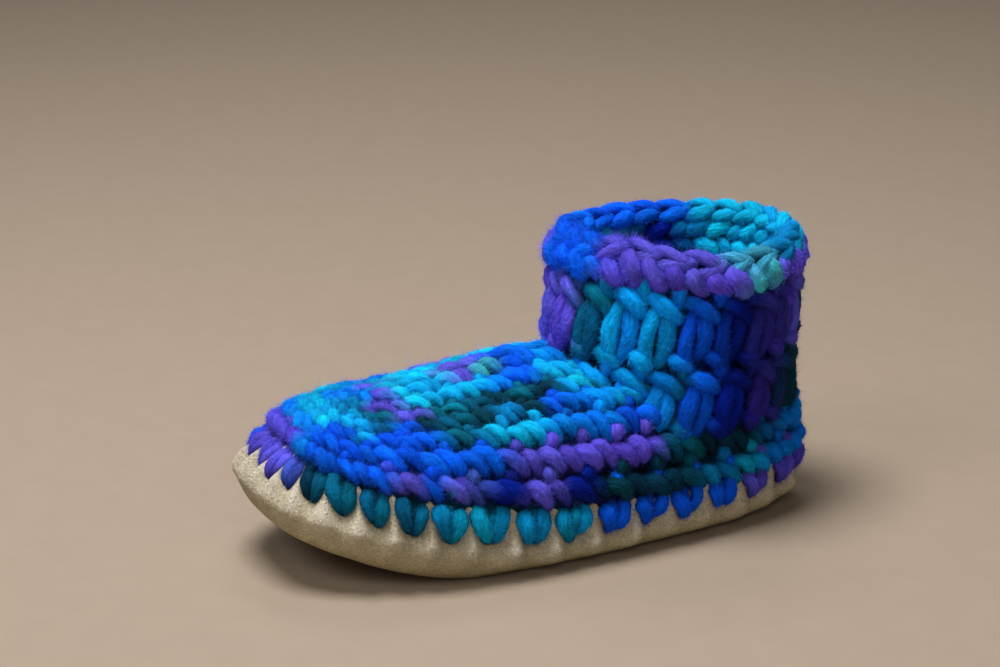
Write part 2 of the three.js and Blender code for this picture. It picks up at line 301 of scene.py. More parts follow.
# Lights: place and target in metres (right in the picture, to the camera, up), size, power and colour
SLIPPER = (0, 0, 0.06)
LIGHTS = {
    "key": ((-0.3, 0.15, 1.5), SLIPPER, 0.7, 30.3, (1.0, 0.97, 0.93)),
    "left": ((-1.0, 1.0, 1.1), SLIPPER, 0.7, 8.0, (1.0, 0.98, 0.95)),
    "fill": ((0.3, 1.5, 0.5), SLIPPER, 1.2, 7.4, (1.0, 0.92, 0.78)),
    "backdrop": ((0, -1.3, 2.3), (0, -2.0, 0), 1.2, 14, (1.0, 0.97, 0.93)),
}
STUDIO_COLOUR = (0.86, 0.82, 0.78, 1)
STUDIO_STRENGTH = 0.03
FLOOR_REACH = 4000

# Darker and paler colours of the suede, fleece and floor, in display values
SUEDE_COLOURS = ((228, 217, 196), (250, 243, 229))
FLEECE_COLOURS = ((190, 178, 152), (240, 232, 214))
FLOOR_COLOURS = ((146, 132, 118), (153, 139, 125))

# Tints of the suede where shade is painted on it and where light is painted on it, in linear light
SUEDE_LIGHT_TINTS = ((0.80, 0.73, 0.42), (1.0, 1.0, 1.0))

# Dyes of the yarn, in display values, and the blend where two meet
DYES = {
    "violet": (88, 80, 212),
    "plum": (46, 42, 146),
    "slate": (58, 88, 186),
    "royal": (4, 92, 236),
    "navy": (2, 28, 142),
    "azure": (2, 126, 234),
    "sky": (3, 148, 238),
    "cyan": (8, 172, 230),
    "turquoise": (3, 134, 192),
    "lagoon": (4, 104, 174),
    "teal": (2, 98, 136),
    "deep": (2, 56, 80),
    "aqua": (56, 158, 190),
}
DYE_BLEND = 0.3


def dyed(row):
    """Dyed stretches of a row, from a text of colours, each with the place that it lasts to."""
    return [(name, float(end)) for name, end in (stretch.split() for stretch in row.split(","))]


# Dyed stretches along the joining stitches and then each round, in stitches
FOOT_DYES = (
    dyed("violet 1.6, slate 2.6, deep 3.1, teal 6.4, turquoise 10.5, royal 14.5, violet 19.5, royal 23, "
         "turquoise 27, teal 31, royal 34, violet 36"),
    dyed("violet 1.5, azure 2.3, royal 5.6, violet 6.4, royal 7.0, violet 7.5, slate 8.0, navy 8.8, "
         "violet 9.7, navy 10.6, deep 13.3, lagoon 14.2, turquoise 15.2, azure 17, royal 20, deep 24, "
         "violet 28, royal 33, violet 36"),
    dyed("azure 2.3, royal 8.6, violet 12.3, teal 13.1, deep 15, lagoon 16, azure 18, teal 22, royal 27, "
         "violet 31, azure 36"),
    dyed("cyan 2.4, royal 4.4, cyan 4.9, royal 7.2, teal 8.1, cyan 9.5, azure 11.3, royal 12.4, deep 20, "
         "turquoise 26, royal 30, cyan 36"),
    dyed("cyan 4.8, turquoise 5.4, teal 6.2, royal 6.7, deep 7.3, teal 8.0, deep 8.7, turquoise 9.1, "
         "deep 9.7, royal 10.2, azure 11.5, cyan 13, teal 24, violet 28, azure 30, turquoise 33, cyan 36"),
    dyed("turquoise 4.6, teal 6.3, violet 7.1, teal 8.7, deep 9.2, teal 9.6, deep 10.2, cyan 11.6, "
         "azure 14, royal 25, cyan 29, turquoise 32, azure 36"),
    dyed("turquoise 4.8, violet 6.8, cyan 8.8, azure 9.2, royal 10, cyan 11.6, azure 15, royal 25, "
         "cyan 29, violet 30.5, azure 36"),
    dyed("azure 5.0, violet 6.6, cyan 8.2, violet 8.7, aqua 9.3, royal 10, azure 11, turquoise 13, "
         "azure 26, royal 27, violet 28, cyan 32, azure 36"),
)

# Dyed stretches round the shaft and collar, in eighteenths of a turn
UPPER_TIER_DYES = dyed("violet 0.7, teal 1.8, sky 3.5, royal 4.4, navy 5.3, plum 6.6, violet 7.4, "
                       "deep 9, royal 11.5, cyan 14, teal 16, violet 18")
LOWER_TIER_DYES = dyed("azure 1.5, sky 2.7, azure 3.4, lagoon 3.8, royal 4.3, navy 5.4, plum 6.4, "
                       "deep 9.5, violet 12, royal 15, turquoise 18")
COLLAR_DYES = dyed("royal 1.5, violet 5.0, aqua 5.9, violet 8.4, turquoise 12.5, royal 16, violet 17, "
                   "royal 18")
BRAID_DYES = dyed("royal 1.3, violet 4.4, aqua 5.9, turquoise 8, cyan 12.0, royal 18")
INSIDE_DYES = dyed("royal 3, navy 6, turquoise 9, cyan 11.5, lagoon 12.3, navy 13.5, turquoise 15, "
                   "royal 18")


# Plain helpers

def smooth(start, end, x):
    """0 before start, 1 past end, eased between them."""
    t = np.clip((np.asarray(x, float) - start) / (end - start), 0, 1)
    return t * t * (3 - 2 * t)


def lerp(low, high, share):
    return low + (high - low) * share


def ramp(start, x, power):
    """0 before start, then up to 1 at 1 as a power."""
    return np.maximum((np.asarray(x, float) - start) / (1 - start), 0) ** power


def linear(display):
    """Display values from 0 to 255 as linear light."""
    c = np.asarray(display, float) / 255
    return np.where(c <= 0.04045, c / 12.92, ((c + 0.055) / 1.055) ** 2.4)


def unit(vectors):
    return vectors / np.maximum(np.linalg.norm(vectors, axis=-1, keepdims=True), 1e-9)


def dye_at(stretches, place, closing):
    """Linear colour of the yarn at each place along a row, with a short blend where two dyes meet."""
    place = np.mod(place, closing)
    stops = []
    colours = []
    start = 0
    for name, end in stretches:
        blend = min(DYE_BLEND, DYE_BLEND * (end - start))
        stops += [start + blend, end - blend]
        colours += [linear(DYES[name])] * 2
        start = end
    colours = np.array(colours)
    return np.stack([np.interp(place, stops, colours[:, k], period=closing) for k in range(3)], -1)


# Outline and heights of the sole

def outline_table():
    """Shares of the way round the outline, and the points there."""
    angle = np.linspace(0, 2 * math.pi, OUTLINE_STEPS + 1)
    cosine, sine = np.cos(angle), np.sin(angle)
    power = np.where(cosine > 0, TOE_POWER, HEEL_POWER)
    place = -np.sign(cosine) * np.abs(cosine) ** (2 / power)
    half_width = lerp(BALL_HALF_WIDTH, HEEL_HALF_WIDTH, smooth(TAPER_FROM, TAPER_TO, place))
    x = np.sign(sine) * np.abs(sine) ** (2 / power) * half_width
    y = place * LENGTH / 2
    travelled = np.concatenate([[0], np.cumsum(np.hypot(np.diff(x), np.diff(y)))])
    return travelled / travelled[-1], x, y


def pitch_at(stitch):
    """Distance between joining stitches: shorter round the toe than along the sides."""
    from_toe = np.minimum(stitch, STITCHES - stitch)
    return lerp(TOE_PITCH, SIDE_PITCH, smooth(PITCH_GROWS_FROM, PITCH_GROWS_TO, from_toe))


def stitch_table():
    """Share of the way round the outline for every part of a stitch."""
    middle = (np.arange(STITCHES // 2 * STITCH_PARTS) + 0.5) / STITCH_PARTS
    half = np.concatenate([[0], np.cumsum(pitch_at(middle))])
    half = half / half[-1] / 2
    share = np.concatenate([half, 1 - half[-2::-1]])
    return np.arange(len(share)) / STITCH_PARTS, share


OUTLINE_SHARE, OUTLINE_X, OUTLINE_Y = outline_table()
STITCH_INDEX, STITCH_SHARE = stitch_table()


def outline_at(stitch):
    """Point and outward normal of the outline at each stitch number."""
    share = np.interp(np.mod(stitch, STITCHES), STITCH_INDEX, STITCH_SHARE)

    def point(s):
        s = np.mod(s, 1)
        return np.interp(s, OUTLINE_SHARE, OUTLINE_X), np.interp(s, OUTLINE_SHARE, OUTLINE_Y)

    x, y = point(share)
    ahead_x, ahead_y = point(share + NORMAL_REACH)
    behind_x, behind_y = point(share - NORMAL_REACH)
    normal = unit(np.stack([ahead_y - behind_y, behind_x - ahead_x], -1))
    return np.stack([x, y], -1), normal


def along(y):
    """Place along the sole."""
    return np.clip(np.asarray(y) / (LENGTH / 2), -1, 1)


def round_outline(parts):
    """Stitch numbers by parts of a stitch, and the points, outward normals and places along the sole."""
    stitch = np.arange(STITCHES * parts) / parts
    point, normal = outline_at(stitch)
    return stitch, point, normal, along(point[:, 1])


def heel_share(stitch):
    """0 along the toe and the ball, 1 round the heel."""
    stitch = np.mod(stitch, STITCHES)
    return smooth(HEEL_FROM, HEEL_TO, np.minimum(stitch, STITCHES - stitch))


def toe_share(place):
    return ramp(TOE_LEAN_FROM, -place, TOE_LEAN_POWER)


def hole_height(place):
    toe = HOLE_TOE_RISE * np.maximum(-place, 0) ** HOLE_TOE_POWER
    return HOLE_HEIGHT + toe + HOLE_HEEL_RISE * ramp(HEEL_RISE_FROM, place, 2)


def rim_height(place):
    return hole_height(place) + lerp(RIM_ABOVE_HOLE, RIM_ABOVE_HOLE_TOE, toe_share(place))


def bulge_height(place):
    return hole_height(place) - lerp(BULGE_BELOW_HOLE, BULGE_BELOW_HOLE_TOE, toe_share(place))


def rim_lean(place):
    return TOE_LEAN * toe_share(place)


def floor_height(y):
    toe = TOE_SPRING * ramp(TOE_SPRING_FROM, -along(y), SPRING_POWER)
    return toe + HEEL_SPRING * ramp(HEEL_SPRING_FROM, along(y), SPRING_POWER)


# Skins

class Skin:
    """A surface charted by a number that runs round and closes and a number that runs up."""

    def __init__(self, points, closing, low, high, wander, facing=1):
        self.points = points
        self.wander = wander
        self.closing = closing
        self.low = low
        self.high = high
        round_step = np.roll(points, -1, 0) - np.roll(points, 1, 0)
        up_step = np.gradient(points, axis=1)
        normal = np.cross(round_step, up_step) * facing
        flat = np.linalg.norm(normal, axis=-1) < 1e-6
        normal[flat] = (0, 0, 1)
        self.normals = unit(normal)

    def at(self, around, up, lift):
        """Points, raised by lift along the normal, and the normals there."""
        count, rows = self.points.shape[:2]
        i = np.mod(around / self.closing, 1) * count
        j = np.clip((up - self.low) / (self.high - self.low), 0, 1) * (rows - 1)
        i0 = np.floor(i).astype(int) % count
        j0 = np.minimum(np.floor(j).astype(int), rows - 2)
        fi = (i - np.floor(i))[..., None]
        fj = (j - j0)[..., None]
        i1 = (i0 + 1) % count

        def mix(grid):
            low = grid[i0, j0] * (1 - fi) + grid[i1, j0] * fi
            high = grid[i0, j0 + 1] * (1 - fi) + grid[i1, j0 + 1] * fi
            return low * (1 - fj) + high * fj

        normal = unit(mix(self.normals))
        return mix(self.points) + normal * np.asarray(lift)[..., None], normal


def ridge_height(y):
    vamp = lerp(RIDGE_TOE_Z, RIDGE_INSTEP_Z, smooth(TOE_PIVOT_Y, RIDGE_INSTEP_Y, y))
    return lerp(vamp, RIDGE_ANKLE_Z, smooth(RIDGE_ANKLE_FROM_Y, HEEL_PIVOT_Y, y))


def section_value(place, values):
    """A value of the foot's section between the rows of its table, eased as the solid's is."""
    row = np.clip(np.searchsorted(SECTION_ALONG, place) - 1, 0, len(SECTION_ALONG) - 2)
    stations = np.array(SECTION_ALONG)
    share = (place - stations[row]) / (stations[row + 1] - stations[row])
    return lerp(np.array(values)[row], np.array(values)[row + 1], smooth(0, 1, share))


def foot_section(point, normal, place):
    """Points from the first row line to the middle of the vamp, at equal distances."""
    start_xy = point - normal * (rim_lean(place) - FOOT_OVERHANG)[:, None]
    start = np.column_stack([start_xy, rim_height(place) + ROW_LINE_ABOVE_RIM])
    ridge_y = np.clip(point[:, 1], TOE_PIVOT_Y, HEEL_PIVOT_Y)
    end = np.column_stack([np.zeros_like(ridge_y), ridge_y, ridge_height(ridge_y)])
    shoulder = section_value(place, SECTION_SHOULDER)[:, None]
    sharpness = section_value(place, SECTION_SHARPNESS)[:, None]
    across = (np.linspace(0, 1, SECTION_STEPS) ** 2)[None, :]
    rise = shoulder * (1 - (1 - across) ** sharpness) + (1 - shoulder) * across
    fine = start[:, None] + (end - start)[:, None] * across[..., None]
    fine[..., 2] = lerp(start[:, None, 2], end[:, None, 2], rise)
    step = np.linalg.norm(np.diff(fine, axis=1), axis=2)
    travelled = np.concatenate([np.zeros((len(step), 1)), np.cumsum(step, 1)], 1)
    travelled /= travelled[:, -1:]
    wanted = np.linspace(0, 1, FOOT_ROWS * ROW_PARTS + 1)
    out = np.empty((len(fine), len(wanted), 3))
    for k in range(len(fine)):
        for axis in range(3):
            out[k, :, axis] = np.interp(wanted, travelled[k], fine[k, :, axis])
    return out


def foot_skin():
    """From below the holes over the rim of the suede and the rows to the middle of the vamp."""
    _, point, normal, place = round_outline(FOOT_PARTS)
    upper = foot_section(point, normal, place)
    lower_rows = np.arange(FOOT_LOW, -0.5 / ROW_PARTS, 1 / ROW_PARTS)
    knots = (FOOT_LOW, -1, RIM_ROW, 0)
    lean = rim_lean(place)
    hole, rim = hole_height(place), rim_height(place)
    insets = [lean * FOOT_LOW_SHARE_OF_LEAN, lean * HOLE_SHARE_OF_LEAN, lean, lean - FOOT_OVERHANG]
    insets = np.stack(insets, 1)
    heights = np.stack([hole - FOOT_LOW_BELOW_HOLE, hole, rim, rim + ROW_LINE_ABOVE_RIM], 1)
    lower = np.empty((len(point), len(lower_rows), 3))
    for k in range(len(point)):
        inset = np.interp(lower_rows, knots, insets[k])
        lower[k, :, :2] = point[k] - normal[k] * inset[:, None]
        lower[k, :, 2] = np.interp(lower_rows, knots, heights[k])
    grid = np.concatenate([lower, upper], 1)
    grid[..., 1] += MIDDLE_Y
    return Skin(grid, STITCHES, FOOT_LOW, FOOT_ROWS, FOOT_WANDER)


def inner_foot_skin():
    """The inside of the foot's wall, facing in."""
    points = FOOT.points - FOOT.normals * (WALL - INNER_FACE)
    return Skin(points, STITCHES, FOOT_LOW, FOOT_ROWS, FOOT_WANDER, -1)


def collar_rise(angle):
    """How far the rim stands above or below its level: down at the sides, a little more at the +X side, and
    up at the front corner of that side."""
    cosine = np.cos(angle)
    end = np.where(cosine > 0, COLLAR_FRONT_RISE, COLLAR_BACK_RISE)
    saddle = lerp(-COLLAR_SIDE_DIP, end, cosine ** 2) - COLLAR_LEAN * np.sin(angle)
    from_corner = (1 - np.cos(angle - COLLAR_CORNER_ANGLE)) / COLLAR_CORNER_SPREAD
    return saddle + COLLAR_CORNER_RISE * np.exp(-from_corner)


def shaft_ring(angle, z, out):
    """Points of the oval tube: angle 0 at the front, turning to the +X side."""
    rise = (z - SHAFT_BASE_Z) / (COLLAR_Z - SHAFT_BASE_Z)
    half_length = lerp(SHAFT_BASE_HALF_LENGTH, COLLAR_HALF_LENGTH, rise) + out
    half_width = lerp(SHAFT_BASE_HALF_WIDTH, COLLAR_HALF_WIDTH, rise) + out
    y = -half_length * np.cos(angle)
    middle_y = lerp(SHAFT_BASE_Y, COLLAR_Y, rise)
    return np.stack([half_width * np.sin(angle), middle_y + y + MIDDLE_Y, z + rise * collar_rise(angle)], -1)


def turn_angles():
    return np.linspace(0, 2 * math.pi, SHAFT_ROUND_STEPS, endpoint=False)[:, None]


def shaft_skin(out, facing):
    z = np.linspace(SHAFT_LOW, SHAFT_HIGH, SHAFT_UP_STEPS)
    grid = shaft_ring(turn_angles(), z[None, :], out)
    return Skin(grid, SHAFT_UNITS, SHAFT_LOW, SHAFT_HIGH, SHAFT_WANDER, facing)


def braid_skin():
    """The rim's round edge: 0 faces out, 1 faces up, 2 faces in."""
    turn = np.linspace(-1, 3, BRAID_STEPS) * math.pi / 2
    out = BRAID_CORE * np.cos(turn) - BRAID_TUCK
    grid = shaft_ring(turn_angles(), np.full((1, BRAID_STEPS), COLLAR_Z), out[None, :])
    grid[..., 2] += BRAID_CORE * np.sin(turn) - BRAID_DROP
    return Skin(grid, BRAID_LINKS, -1, 3, BRAID_WANDER)


FOOT = foot_skin()
INNER_FOOT = inner_foot_skin()
SHAFT = shaft_skin(SHAFT_SKIN, 1)
INSIDE = shaft_skin(SHAFT_INSIDE, -1)
BRAID = braid_skin()


# Meshes

NO_TRIANGLES = np.empty((0, 3), int)
NO_QUADS = np.empty((0, 4), int)


def add_attribute(mesh, name, values):
    """A colour for each point if the name is dye, or else a vector."""
    if name == "dye":
        layer = mesh.attributes.new(name, "FLOAT_COLOR", "POINT")
        values = np.column_stack([values, np.ones(len(values))])
        layer.data.foreach_set("color", values.astype(np.float32).ravel())
    else:
        layer = mesh.attributes.new(name, "FLOAT_VECTOR", "POINT")
        layer.data.foreach_set("vector", values.astype(np.float32).ravel())


def mesh_object(name, points, quads, triangles, material, attributes):
    """A smooth mesh from arrays in millimetres, with named point attributes."""
    mesh = bpy.data.meshes.new(name)
    mesh.vertices.add(len(points))
    mesh.vertices.foreach_set("co", (points * MM).astype(np.float32).ravel())
    corners = np.concatenate([quads.ravel(), triangles.ravel()]).astype(np.int32)
    sizes = np.concatenate([np.full(len(quads), 4), np.full(len(triangles), 3)]).astype(np.int32)
    mesh.loops.add(len(corners))
    mesh.loops.foreach_set("vertex_index", corners)
    mesh.polygons.add(len(sizes))
    mesh.polygons.foreach_set("loop_start", np.concatenate([[0], np.cumsum(sizes)[:-1]]).astype(np.int32))
    mesh.update(calc_edges=True)
    mesh.validate()
    mesh.shade_smooth()
    for key, values in attributes.items():
        add_attribute(mesh, key, values)
    obj = bpy.data.objects.new(name, mesh)
    bpy.context.scene.collection.objects.link(obj)
    obj.data.materials.append(material)
    return obj


def grid_faces(count, rows, closed, first=0):
    """Quads of a grid stored row by row of its first index."""
    i = np.arange(count if closed else count - 1)
    j = np.arange(rows - 1)
    i, j = np.meshgrid(i, j, indexing="ij")
    k = (i + 1) % count
    corners = [i * rows + j, k * rows + j, k * rows + j + 1, i * rows + j + 1]
    return first + np.stack(corners, -1).reshape(-1, 4)


def bridge(loop, columns, first):
    """A sheet from the +X half of a closed loop across to its other half, and its quads."""
    half = len(loop) // 2
    right = loop[:half + 1]
    left = loop[(-np.arange(half + 1)) % len(loop)]
    share = np.linspace(0, 1, columns + 1)[None, :, None]
    sheet = right[:, None] * (1 - share) + left[:, None] * share
    return sheet.reshape(-1, 3), grid_faces(half + 1, columns + 1, False, first)


def closed_wall(loops, columns):
    """Points of a wall of loops, points of the sheets across its first and last loop, and all quads."""
    rows, count = loops.shape[:2]
    wall = loops.transpose(1, 0, 2).reshape(-1, 3)
    under, under_faces = bridge(loops[0], columns, len(wall))
    over, over_faces = bridge(loops[-1], columns, len(wall) + len(under))
    quads = [grid_faces(count, rows, True), under_faces, over_faces[:, ::-1]]
    return wall, under, over, np.concatenate(quads)


# Yarn lobes: short lengths of thick yarn, each a tapered tube along a curve on a skin

def curves(*points):
    """Control points of many lobes: each argument gives (around, up, lift), as arrays or single numbers."""
    return np.stack([np.stack(np.broadcast_arrays(*point), -1) for point in points], 1)


def lobe_dyes(stretches, closing, controls):
    """Dye at every step along each lobe, read at the lobe's place along its row."""
    ends = controls[:, :, 0]
    t = np.linspace(0, 1, LOBE_STEPS)
    place = ends[:, :1] * (1 - t) + ends[:, -1:] * t
    return dye_at(stretches, place, closing)


def uneven(count, t, angle):
    """Unevenness of spun yarn, as a share of its size: a flat side that turns, swellings and a rough face."""
    step = t[None, :, None]
    flat = np.sin(2 * angle[None, None] + 5 * step + RNG.uniform(0, 6, (count, 1, 1)))
    swell = np.sin(RNG.uniform(4, 9, (count, 1, 1)) * step + RNG.uniform(0, 6, (count, 1, 1)))
    rough = RNG.normal(0, LOBE_ROUGH, (count, LOBE_STEPS, LOBE_SIDES))
    return 1 + LOBE_FLATTEN * flat + LOBE_SWELL * swell + rough


class Yarn:
    """Collects lobes and turns them into one joined mesh."""

    def __init__(self, name):
        self.name = name
        self.rings = []
        # colours of the lobes: dye, random tone and painted crevice shade
        self.dyes = []
        self.fibres = []
        self.normals = []

    def add(self, skin, controls, radius, stretches, blunt, tall=0.85, start=1.0, end=1.0):
        """controls: lobes x 4 x (around, up, lift), the control points of one curve for each lobe. blunt is
        the share of the thickness left at both ends, tall the height of a lobe over its width."""
        count = len(controls)
        dye = lobe_dyes(stretches, skin.closing, controls)
        controls = controls + RNG.normal(0, 1, controls.shape) * skin.wander
        radius = np.broadcast_to(radius, (count,)) * RNG.uniform(*LOBE_SIZES, count)
        t = np.linspace(0, 1, LOBE_STEPS)
        weights = np.stack([(1 - t) ** 3, 3 * t * (1 - t) ** 2, 3 * t * t * (1 - t), t ** 3], 1)
        chart = np.einsum("tc,lcd->ltd", weights, controls)
        middle, normal = skin.at(chart[..., 0], chart[..., 1], chart[..., 2])
        tangent = unit(np.gradient(middle, axis=1))
        normal = unit(normal - tangent * np.sum(normal * tangent, -1, keepdims=True))
        side = np.cross(tangent, normal)
        belly = np.sin(math.pi * np.clip(t, 0.02, 0.98)) ** 0.7
        taper = lerp(blunt, 1, belly) * lerp(start, end, t)
        angle = np.linspace(0, 2 * math.pi, LOBE_SIDES, endpoint=False)
        size = radius[:, None, None] * taper[None, :, None] * uneven(count, t, angle)
        sideways = side[:, :, None] * np.cos(angle)[:, None]
        outward = sideways + normal[:, :, None] * np.sin(angle)[:, None]
        flat = sideways + normal[:, :, None] * (np.sin(angle) * tall)[:, None]
        self.rings.append(middle[:, :, None] + flat * size[..., None])
        self.normals.append(outward)
        # heights above the skin, which set the painted shade in the crevices
        self.add_colours_and_painted_shade(dye, chart[:, :, None, 2] + np.sin(angle) * tall * size)
        self.add_fibres(middle, radius, angle)

    def add_colours_and_painted_shade(self, dye, height):
        """Each lobe a little lighter, darker or greener than its dye, with painted shade darkening its
        crevices.
        """
        shade = RNG.uniform(*LOBE_SHADES, (len(dye), 1, 1)) * (1, 1, 1)
        shade[..., 1] *= RNG.uniform(*LOBE_GREENS, (len(dye), 1))
        # painted shade: darker the lower a point lies between the lobes
        crevice_painted_shade = lerp(PAINTED_CREVICE_SHADE, 1, smooth(CREVICE_LOW, CREVICE_HIGH, height))
        self.dyes.append((dye * shade)[:, :, None] * crevice_painted_shade[..., None])

    def add_fibres(self, middle, radius, angle):
        """Coordinates along and round each lobe, with a slow twist, for the grain of the wool."""
        travelled = np.cumsum(np.linalg.norm(np.gradient(middle, axis=1), axis=-1), 1)[..., None]
        turned = angle[None, None] + travelled * LOBE_TWIST
        offset = RNG.uniform(0, 500, (len(middle), 1, 1))
        wide = radius[:, None, None]
        fibre = [travelled + offset, wide * np.cos(turned) + offset, wide * np.sin(turned)]
        self.fibres.append(np.stack(np.broadcast_arrays(*fibre), -1))

    def build(self, material):
        """The mesh of all lobes, each closed by a fan of triangles at both ends."""
        rings = np.concatenate(self.rings)
        per_lobe = LOBE_STEPS * LOBE_SIDES
        i = np.arange(LOBE_STEPS - 1)[:, None] * LOBE_SIDES
        j = np.arange(LOBE_SIDES)[None, :]
        k = (j + 1) % LOBE_SIDES
        quads = np.stack([i + j, i + k, i + LOBE_SIDES + k, i + LOBE_SIDES + j], -1).reshape(-1, 4)
        start = np.arange(1, LOBE_SIDES - 1)
        near_cap = np.stack([np.zeros_like(start), start + 1, start], -1)
        last = per_lobe - LOBE_SIDES
        far_cap = np.stack([np.full_like(start, last), last + start, last + start + 1], -1)
        caps = np.concatenate([near_cap, far_cap])
        shift = (np.arange(len(rings)) * per_lobe)[:, None, None]
        attributes = {
            # the dye attribute holds each lobe's dye with painted shade in its crevices
            "dye": np.concatenate(self.dyes).reshape(-1, 3),
            "fibre": np.concatenate(self.fibres).reshape(-1, 3),
        }
        return mesh_object(self.name, rings.reshape(-1, 3), (quads + shift).reshape(-1, 4),
                           (caps + shift).reshape(-1, 3), material, attributes)

    def roots(self):
        """Points, normals and colours (dyes with painted crevice shade) on the outer half of the lobes, where
        stray fibres can grow.
        """
        outer = np.arange(LOBE_SIDES // 2 + 1)
        grids = (self.rings, self.normals, self.dyes)
        return [np.concatenate(grid)[:, 1:-1, outer].reshape(-1, 3) for grid in grids]


# Crochet of the foot

def inside_shaft(points, margin):
    """True where a point lies inside the shaft's oval, seen from above."""
    y = (points[..., 1] - MIDDLE_Y - SHAFT_BASE_Y) / (SHAFT_BASE_HALF_LENGTH + margin)
    x = points[..., 0] / (SHAFT_BASE_HALF_WIDTH + margin)
    return x * x + y * y < 1


def joining_stitches():
    """Pairs of lobes that lean together at a hole in the suede, long at the toe and short at the heel, with a
    core between them and a bump above."""
    yarn = Yarn("joining_stitches")
    s = np.arange(STITCHES, dtype=float)
    heel = heel_share(s)
    top = lerp(JOINING_TOP, JOINING_TOP_HEEL, heel)
    bend = lerp(top, -1, 0.26)
    knee = lerp(top, -1, 0.74)

    def at(across, up, lift):
        return s + across, up, lift

    left = curves(at(-0.27, top, -2.2), at(-0.25, bend, 3.6), at(-0.15, knee, 3.4), at(-0.03, -1.03, -3.2))
    right = curves(at(0.27, top, -2.4), at(0.25, bend, 2.7), at(0.15, knee, 2.8), at(0.03, -1.04, -3.2))
    core = curves(at(-0.02, top - 0.06, -2.8), at(-0.02, top - 0.12, -0.6), at(-0.01, top - 0.36, -0.4),
                  at(-0.01, -0.90, -2.4))
    bump = curves(at(0.12, top + 0.82, -2.4), at(0.12, top + 0.78, 1.2), at(0.12, top + 0.62, 1.4),
                  at(0.12, top + 0.56, -2.2))
    thick = np.minimum(JOINING_SHARE_OF_PITCH * pitch_at(s), lerp(JOINING_THICK, JOINING_THICK_HEEL, heel))
    for controls, share, end in ((left, 1.0, 0.68), (right, 0.96, 0.68), (core, 0.8, 0.8), (bump, 0.62, 1.0)):
        yarn.add(FOOT, controls, share * thick, FOOT_DYES[0], 0.7, tall=0.8, start=1.15, end=end)
    return yarn


def round_edges(k, stitch):
    """Where a round begins and how tall it is, in rows, at each stitch number."""
    share = heel_share(stitch)
    low = lerp(ROUND_LOW[k], HEEL_ROUND_LOW[k], share)
    return low, lerp(ROUND_HIGH[k], HEEL_ROUND_HIGH[k], share) - low


def round_path(k):
    """Stitch numbers along the middle of a round and the distance to each, run on past both ends of it."""
    fine = np.linspace(-STITCHES / 2, STITCHES * 1.5, ROUND_STEPS)
    low, tall = round_edges(k, fine)
    points, _ = FOOT.at(fine, low + tall / 2, 0)
    travelled = np.concatenate([[0], np.cumsum(np.linalg.norm(np.diff(points, axis=0), axis=1))])
    return fine, travelled - np.interp(0, fine, travelled)


def round_places(k, fine, travelled):
    """Distance of each stitch along the round, and the length that it takes: the first round follows the
    joining stitches, the others are spaced evenly."""
    if k == 0:
        place = np.interp(np.arange(STITCHES) + ROUND_SHIFT, fine, travelled)
        ends = np.interp(np.arange(STITCHES + 1) + (ROUND_SHIFT - 0.5), fine, travelled)
        return place, np.diff(ends)
    whole = np.interp(STITCHES, fine, travelled)
    count = int(round(whole / ROUND_PITCH[k]))
    return (np.arange(count) + ROUND_SHIFT * (k % 3)) / count * whole, np.full(count, whole / count)


def round_height(stitch, k):
    low, tall = round_edges(k, stitch)
    bottom, _ = FOOT.at(stitch, low, 0)
    top, _ = FOOT.at(stitch, low + tall, 0)
    return np.linalg.norm(top - bottom, axis=1)


def foot_round(k):
    """One round of stitches, each two slanting lobes side by side, with a bump under the first in the dye of
    the round below."""
    yarn = Yarn(f"foot_round_{k + 1}")
    fine, travelled = round_path(k)
    place, pitch = round_places(k, fine, travelled)
    s = np.interp(place, travelled, fine)
    low, tall = round_edges(k, s)
    points, _ = FOOT.at(s, low + tall / 2, 0)
    keep = ~inside_shaft(points, -ROUND_RUNS_IN)
    s, place, pitch, low, tall = s[keep], place[keep], pitch[keep], low[keep], tall[keep]
    size = np.clip(YARN_SHARE_OF_ROUND * round_height(s, k), YARN_THIN, YARN_THICK)

    def at(across, up, lift):
        return np.interp(place + across * pitch, travelled, fine), low + up * tall, lift

    first = curves(at(-0.54, 0.66, -2.6), at(-0.36, 0.90, 1.2), at(-0.02, 0.46, 1.8), at(0.16, 0.10, -2.2))
    second = curves(at(-0.02, 0.74, -2.4), at(0.14, 0.94, 0.9), at(0.42, 0.54, 1.4), at(0.56, 0.08, -2.4))
    yarn.add(FOOT, first, size * 1.02, FOOT_DYES[k + 1], 0.6)
    yarn.add(FOOT, second, size * 0.98, FOOT_DYES[k + 1], 0.6)
    if k > 0:
        proud = BUMP_LIFT[k]
        bump = curves(at(-0.20, 0.32, -2.4), at(-0.26, 0.22, proud), at(-0.26, 0.00, proud),
                      at(-0.24, -0.12, -2.4))
        yarn.add(FOOT, bump, size * 0.9, FOOT_DYES[k], 0.7)
    return yarn


# Crochet of the shaft and collar

